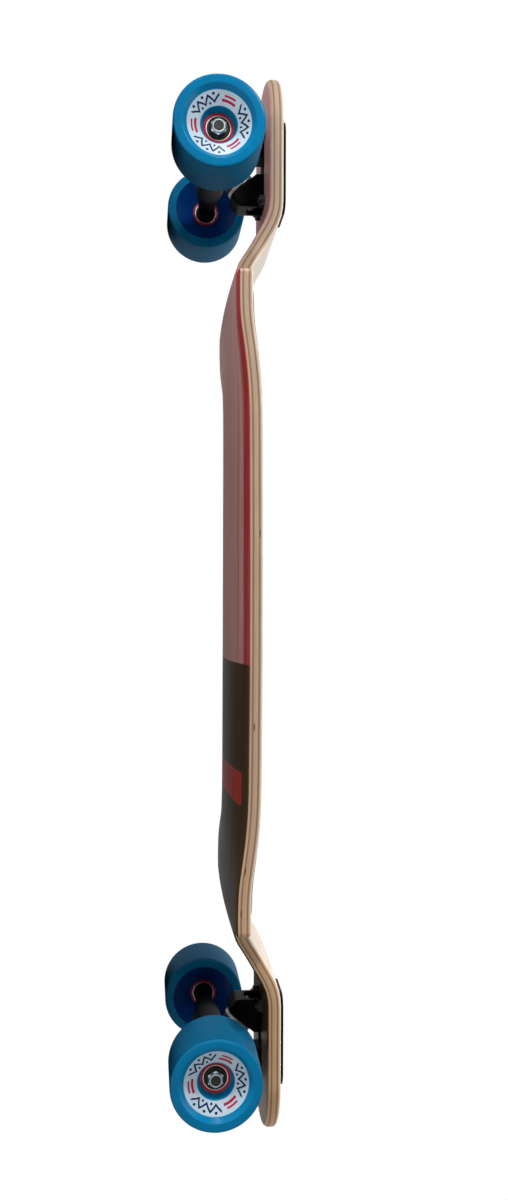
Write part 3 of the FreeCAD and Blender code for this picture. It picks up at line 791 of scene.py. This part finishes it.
nut_top = axle_nut_start + axle_nut_height
nut_shoulder = nut_top - collar_height
collar = axle_nut_across / 2 * collar_share
hexagon_points = 4
locknut_profile = nut_profile(axle_nut_across, axle_nut_start, nut_shoulder, axle_radius)[:hexagon_points]
locknut_profile += [
    (collar, nut_shoulder),
    (collar, nut_top - collar_height * collar_turn_share),
    (collar * collar_top_share, nut_top),
    (axle_radius * collar_mouth_share, nut_top),
    (axle_radius, nut_top - collar_height * collar_mouth_depth),
]
for truck, side_name, side in wheel_places:
    outward = axle_end_frame(truck, side)
    nut = turned(f"{truck}_{side_name}_axle_locknut", locknut_profile, outward, turn_segments,
                 across=axle_nut_across)
    nut.data.materials.append(plated)
    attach(nut, truck + "_hanger")
    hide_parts(truck + "_axle_nuts")

# Wheels: cast urethane on a stiff crimson core. The tread is satin from use, the lips are glossy and
# the dished cone outside carries a pad print.
tread_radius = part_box("front_left_tyre")[1].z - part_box("front_axle")[0].z - axle_radius
outer_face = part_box("front_left_tyre")[1].y
inner_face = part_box("front_left_tyre")[0].y
wheel_edge = 0.0024
outer_lip = 0.0320
dish_radius = 0.0283
dish_depth = 0.0044
throat_radius = 0.0158
throat_depth = 0.010
inner_lip = 0.0315
core_radius = 0.0131
soft_edge = 0.0012
dish_edge = 0.00084
throat_edge = 0.0006
wheel_arc_step = math.radians(12)
wheel_segments = 160
tread_fade = (0.0012, 0.0002)
lip_dust = 0.4
tread_dust = 0.6
lip_rough = 0.24
tread_rough = 0.55
lip_coat = 0.2
urethane_blue = srgb(2, 116, 163)
core_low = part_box("front_left_hub_core")[0].y
core_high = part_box("front_left_hub_core")[1].y


def softened(corners, step):
    """Closed profile whose (x, y, radius) corners are rounded with short arcs."""
    rounded = []
    count = len(corners)
    for i, (x, y, radius) in enumerate(corners):
        spot = Vector((x, y))
        if not radius:
            rounded.append((x, y))
            continue
        into = (spot - Vector(corners[i - 1][:2])).normalized()
        out = (Vector(corners[(i + 1) % count][:2]) - spot).normalized()
        turn = into.angle(out)
        reach = radius * math.tan(turn / 2)
        pieces = max(2, math.ceil(turn / step))
        start = spot - into * reach
        end = spot + out * reach
        for j in range(pieces + 1):
            share = j / pieces
            rounded.append(tuple(start.lerp(spot, share).lerp(spot.lerp(end, share), share)))
    return rounded


wheel_profile = softened([
    (core_radius, core_low, 0),
    (inner_lip, inner_face, soft_edge),
    (tread_radius, inner_face, wheel_edge),
    (tread_radius, outer_face, wheel_edge),
    (outer_lip, outer_face, soft_edge),
    (dish_radius, outer_face - dish_depth, dish_edge),
    (throat_radius, outer_face - throat_depth, throat_edge),
    (core_radius, core_high, 0),
], wheel_arc_step)

urethane, tree, skin = finish("blue_urethane", Subsurface_Weight=0.08,
                              Subsurface_Radius=(0.001, 0.003, 0.005),
                              Specular_IOR_Level=0.05, Coat_Roughness=0.1)
lay = split(tree, shade(tree, "UVMap", uv_map="turn").outputs[0])
place = object_place(tree)
dust = placed_effect(tree, road_dust, Place=place, Scale=700.0)
on_tread = graded(tree, lay[1], *(tread_radius - short for short in tread_fade))
lip_dust_and_cone_shade = mixed(tree, maths(tree, "MULTIPLY", dust["Dust"], lip_dust), urethane_blue, srgb(10, 105, 145))
# The tread is partly dust and use and partly painted shade: its blue is darker than the lips' to stand for
# the treads' shaded sides.
tread_dust_and_shade = mixed(tree, maths(tree, "MULTIPLY", dust["Dust"], tread_dust), srgb(5, 84, 118), srgb(20, 72, 92))
# Painted shade: the cone on each wheel's inner face, toward the board, is painted deep navy for the shade
# between the wheels and the deck; the urethane there is the same blue as the lips.
off_middle = maths(tree, "ABSOLUTE", split(tree, place)[1])
inboard = maths(tree, "LESS_THAN", off_middle, (inner_face + outer_face) / 2)
painted_shade_cone = maths(tree, "MULTIPLY", inboard, maths(tree, "LESS_THAN", lay[1], inner_lip))
lip_dust_and_cone_shade = mixed(tree, painted_shade_cone, lip_dust_and_cone_shade, srgb(3, 58, 122))
tree.links.new(mixed(tree, on_tread, lip_dust_and_cone_shade, tread_dust_and_shade), skin["Base Color"])
tree.links.new(graded(tree, on_tread, 0.0, 1.0, lip_rough, tread_rough), skin["Roughness"])
tree.links.new(graded(tree, on_tread, 0.0, 1.0, lip_coat, 0.0), skin["Coat Weight"])
tree.links.new(dust["Normal"], skin["Normal"])

# The print on the outer cone: a white ground with three runs of navy zigzag and dots and, between them,
# crimson bars, all pad printed on the urethane. A place in it is a share of the cone's depth, outward
# from the throat, and a share of one repeat around the wheel.
print_repeats = 3
print_ground = (0.05, 0.97)
print_bars = (((0.30, 0.46), (0.66, 0.95)), ((0.58, 0.70), (0.70, 0.91)))
print_dust = 0.5
print_margin_low = 0.0004
print_margin_high = 0.0002
field_share = 0.60
teeth = 3
zigzag_low = 0.28
zigzag_rise = 0.44
line_half = 0.095
outer_dot_depth = 0.76
inner_dot_depth = 0.25
dot_radius = 0.0011
print_width = dish_radius - throat_radius
tooth_pitch = math.pi * (dish_radius + throat_radius) * field_share / print_repeats / teeth


def inside(tree, value, low, high):
    """One where value lies between low and high, and zero elsewhere."""
    above = maths(tree, "GREATER_THAN", value, low)
    below = maths(tree, "LESS_THAN", value, high)
    return maths(tree, "MULTIPLY", above, below)


printed, tree, skin = finish("printed_cone", Roughness=0.45, Specular_IOR_Level=0.15)
lay = split(tree, shade(tree, "UVMap", uv_map="turn").outputs[0])
depth = graded(tree, lay[1], throat_radius, dish_radius)
around = maths(tree, "FRACT", maths(tree, "MULTIPLY", lay[0], print_repeats))
along = maths(tree, "FRACT", maths(tree, "MULTIPLY", around, teeth / field_share))
tooth = maths(tree, "ABSOLUTE", maths(tree, "SUBTRACT", along, 0.5))
slant = maths(tree, "MULTIPLY_ADD", tooth, 2 * zigzag_rise, zigzag_low)
marks = maths(tree, "LESS_THAN", maths(tree, "ABSOLUTE", maths(tree, "SUBTRACT", depth, slant)), line_half)
off_run = maths(tree, "ABSOLUTE", maths(tree, "SUBTRACT", around, field_share / 2))
inside_run = maths(tree, "LESS_THAN", off_run, field_share * (teeth - 1) / (2 * teeth))
notch = maths(tree, "SUBTRACT", 0.5, tooth)
for dot_depth, off_dot, shown in ((outer_dot_depth, tooth, 1.0), (inner_dot_depth, notch, inside_run)):
    sideways = maths(tree, "MULTIPLY", off_dot, tooth_pitch)
    rise = maths(tree, "MULTIPLY", maths(tree, "SUBTRACT", depth, dot_depth), print_width)
    dot = maths(tree, "LESS_THAN", square_sum(tree, sideways, rise), dot_radius ** 2)
    marks = maths(tree, "MAXIMUM", marks, maths(tree, "MULTIPLY", dot, shown))
navy_mask = maths(tree, "MULTIPLY", marks, maths(tree, "LESS_THAN", around, field_share))
white = dusted(tree, skin, srgb(183, 203, 216), srgb(158, 175, 187), share=print_dust, Scale=700.0)
cone = mixed(tree, inside(tree, depth, *print_ground), urethane_blue, white)
cone = mixed(tree, navy_mask, cone, srgb(24, 34, 74))
for bar_depth, bar_run in print_bars:
    bar = maths(tree, "MULTIPLY", inside(tree, depth, *bar_depth), inside(tree, around, *bar_run))
    cone = mixed(tree, bar, cone, srgb(168, 24, 52))
tree.links.new(cone, skin["Base Color"])
for truck, side_name, side in wheel_places:
    outward = axle_end_frame(truck, side)
    wheel = turned(f"{truck}_{side_name}_cast_tyre", wheel_profile, outward, wheel_segments)
    wheel.data.materials.append(urethane)
    wheel.data.materials.append(printed)
    marks = wheel.data.uv_layers["turn"].data
    inward = outward.inverted()
    for face in wheel.data.polygons:
        reach = [marks[i].uv.y for i in face.loop_indices]
        past_throat = min(reach) > throat_radius - print_margin_low
        in_dish = max(reach) < dish_radius + print_margin_high
        if (inward @ face.center).z > core_high and past_throat and in_dish:
            face.material_index = 1
    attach(wheel, f"{truck}_{side_name}_wheel")
    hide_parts(f"{truck}_{side_name}_tyre")

# Bearing seals: thin black rubber discs clipped into both faces of each bearing,
# lapping the outer rings' chamfers, with a shallow groove between their two lips.
bearing_start = 0.091
bearing_width = 0.007
bearing_spacing = 0.010
seal_bore = 0.0064
seal_radius = 0.0103
seal_thickness = 0.0004
seal_proud = 0.0002
seal_rim = 0.0006
seal_rim_foot = 0.0009
seal_lip = 0.0008
seal_lip_foot = 0.0012
bearing_faces = [start + width for start in (bearing_start, bearing_start + bearing_width + bearing_spacing)
                 for width in (0, bearing_width)]
seal, tree, skin = finish("seal_black", Roughness=0.42, Specular_IOR_Level=0.3)
tone = dusted(tree, skin, srgb(10, 10, 11), srgb(22, 22, 23), share=1.0, Scale=1100.0, Relief=0.03)
tree.links.new(tone, skin["Base Color"])
for truck, side_name, side in wheel_places:
    for i, bearing_face in enumerate(bearing_faces):
        way = -1 if i % 2 == 0 else 1
        outer = bearing_face + way * seal_proud
        inner = outer - way * seal_thickness
        dished = outer - way * seal_proud / 2
        rings = [(seal_bore, outer), (seal_bore, inner), (seal_radius, inner), (seal_radius, outer),
                 (seal_radius - seal_rim, outer), (seal_radius - seal_rim_foot, dished),
                 (seal_bore + seal_lip_foot, dished), (seal_bore + seal_lip, outer)]
        if way < 0:
            rings.reverse()
        outward = axle_end_frame(truck, side)
        disc = turned(f"{truck}_{side_name}_seal_{i + 1}", rings, outward, turn_segments)
        disc.data.materials.append(seal)
        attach(disc, f"{truck}_{side_name}_wheel")
        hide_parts(f"{truck}_{side_name}_bearing_shields")

# Small turned and moulded parts that keep their exact solids, each in its own finish: wheel cores, bearing
# rings, balls and spacers, axles, speed washers, kingpins, pivot cups, and the bolts and nuts that hold the
# baseplates to the deck.
core_skin = coated("crimson_core", srgb(168, 22, 50), srgb(140, 26, 50), srgb(196, 60, 82),
                   rough=0.32, gloss=0.3, scale=500.0)
# Painted shade: the axle steel is made near black, for the dark look of the axle ends inside their nuts.
shade_dark_axle_steel = metal("axle_steel", (0.055, 0.055, 0.055, 1), (0.035, 0.035, 0.035, 1), rough=0.40, scale=700.0)
ground = metal("ground_steel", (0.92, 0.86, 0.76, 1), (0.80, 0.74, 0.64, 1), rough=0.36, scale=900.0)
alloy = metal("turned_alloy", (0.70, 0.71, 0.72, 1), (0.52, 0.52, 0.52, 1), rough=0.30, scale=700.0)
oxide = coated("black_oxide", srgb(26, 26, 27), srgb(46, 44, 42), srgb(92, 92, 92),
               rough=0.36, gloss=0.15, scale=900.0)
cup_skin = coated("pivot_urethane", srgb(28, 28, 30), srgb(52, 50, 48), srgb(60, 60, 62),
                  rough=0.5, gloss=0.3, scale=600.0)
kept_finishes = {
    "hub_core": core_skin, "bearing_outer_rings": ground, "bearing_inner_rings": ground,
    "bearing_balls": ground, "bearing_spacers": alloy, "axle": shade_dark_axle_steel, "speed_washers": plated,
    "kingpin": zinc, "pivot_cup": cup_skin, "mounting_bolts": oxide, "mounting_nuts": oxide,
}
for node_name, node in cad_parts.items():
    for ending, material in kept_finishes.items():
        if node_name.endswith("_" + ending):
            node.data.materials.clear()
            node.data.materials.append(material)

# Studio: a pale paper floor that fades out round the board and is seen only from above, in a surround
# that is white behind the board and dim behind the camera. One broad lamp hangs overhead; three narrow
# ones stand past the nose, beside the tail and low along the board.
floor_half = 6.0
floor_fade = (0.7, 3.2)
floor_drop = 0.0004
surround_span = (-0.25, 0.45)
surround_shine = (1.0, 0.10)
surround_fill = 0.25
floor_mesh = bpy.data.meshes.new("studio_floor")
floor_mesh.from_pydata([(-floor_half, -floor_half, 0), (floor_half, -floor_half, 0),
                        (floor_half, floor_half, 0), (-floor_half, floor_half, 0)], [], [[0, 1, 2, 3]])
floor = link_mesh("studio_floor", floor_mesh)
floor.location.z = cad_box[0][2] - floor_drop
paper = bpy.data.materials.new("floor_paper")
paper.use_nodes = True
tree = paper.node_tree
tree.nodes.clear()
fibre = shade(tree, "TexNoise", {"Scale": 60.0, "Detail": 4})
tone = ramp(tree, fibre.outputs["Fac"], [(0.3, (0.80, 0.80, 0.80, 1)), (0.7, (0.84, 0.84, 0.84, 1))])
matt = shade(tree, "BsdfDiffuse", {"Color": tone})
clear = shade(tree, "BsdfTransparent")
away = shade(tree, "VectorMath", {0: object_place(tree)}, operation="LENGTH").outputs["Value"]
faded = shade(tree, "MapRange", {0: away, 1: floor_fade[0], 2: floor_fade[1]},
              interpolation_type="SMOOTHSTEP").outputs[0]
unseen = maths(tree, "MAXIMUM", faded, shade(tree, "NewGeometry").outputs["Backfacing"])
one_sided = shade(tree, "MixShader", {0: unseen, 1: matt.outputs[0], 2: clear.outputs[0]})
shade(tree, "OutputMaterial", {"Surface": one_sided.outputs[0]})
floor_mesh.materials.append(paper)

surround = bpy.data.worlds.new("white_surround")
surround.use_nodes = True
tree = surround.node_tree
tree.nodes.clear()
rays = shade(tree, "LightPath").outputs
behind_camera = split(tree, shade(tree, "TexCoord").outputs["Generated"])[1]
wall = graded(tree, behind_camera, *surround_span, *surround_shine)
bounced = maths(tree, "MULTIPLY", wall, rays["Is Glossy Ray"])
straight = maths(tree, "MAXIMUM", rays["Is Camera Ray"], rays["Is Transmission Ray"])
strength = maths(tree, "MAXIMUM", straight, maths(tree, "MAXIMUM", bounced, surround_fill))
glow = shade(tree, "Background", {"Color": (1, 1, 1, 1), "Strength": strength})
shade(tree, "OutputWorld", {"Surface": glow.outputs[0]})
bpy.context.scene.world = surround


def soft_lamp(name, spot, aim, size, spread_degrees, power):
    """Round lamp at one spot, turned to another."""
    lamp = bpy.data.lights.new(name, "AREA")
    lamp.shape = "DISK"
    lamp.size = size
    lamp.spread = math.radians(spread_degrees)
    lamp.energy = power
    held = bpy.data.objects.new(name, lamp)
    held.location = spot
    held.rotation_euler = (Vector(aim) - Vector(spot)).to_track_quat("-Z", "Y").to_euler()
    bpy.context.scene.collection.objects.link(held)


soft_lamp("top_lamp", (0.3, -0.3, 4.0), (0, 0, 0), size=6.0, spread_degrees=180, power=145)
soft_lamp("nose_lamp", (1.5, 1.5, 0.7), (0.39, 0.05, 0.06), size=0.5, spread_degrees=34, power=0.80)
soft_lamp("tail_lamp", (-0.46, 2.3, 0.22), (-0.39, 0, 0.06), size=0.5, spread_degrees=34, power=0.12)
soft_lamp("cross_lamp", (2.6, 0.8, 0.08), (-0.41, 0.1, 0.04), size=0.4, spread_degrees=10, power=0.48)

# Camera: a plain lens close beside the board and a little under its wheels,
# turned on its side so that the nose points up in the frame.
camera_spot = Vector((0.0, 1.0545, -0.0201))
camera_pitch = math.radians(5.61)
camera_swing = math.radians(0.14)
camera_roll = math.radians(0.18)
long_side_pixels = 1200
focal_pixels = 1089
lens = bpy.data.cameras.new("photo_camera")
lens.sensor_width = 36
lens.lens = lens.sensor_width * focal_pixels / long_side_pixels
ahead = Vector((math.tan(camera_swing), -1, math.tan(camera_pitch))).normalized()
upward = Vector((math.cos(camera_roll), 0, -math.sin(camera_roll)))
upward = (upward - ahead * upward.dot(ahead)).normalized()
right = ahead.cross(upward)
camera = bpy.data.objects.new("photo_camera", lens)
camera_turn = Matrix((right, upward, -ahead)).transposed().to_4x4()
camera.matrix_world = Matrix.Translation(camera_spot) @ camera_turn
bpy.context.scene.collection.objects.link(camera)
bpy.context.scene.camera = camera
bpy.context.scene.view_settings.view_transform = "Standard"
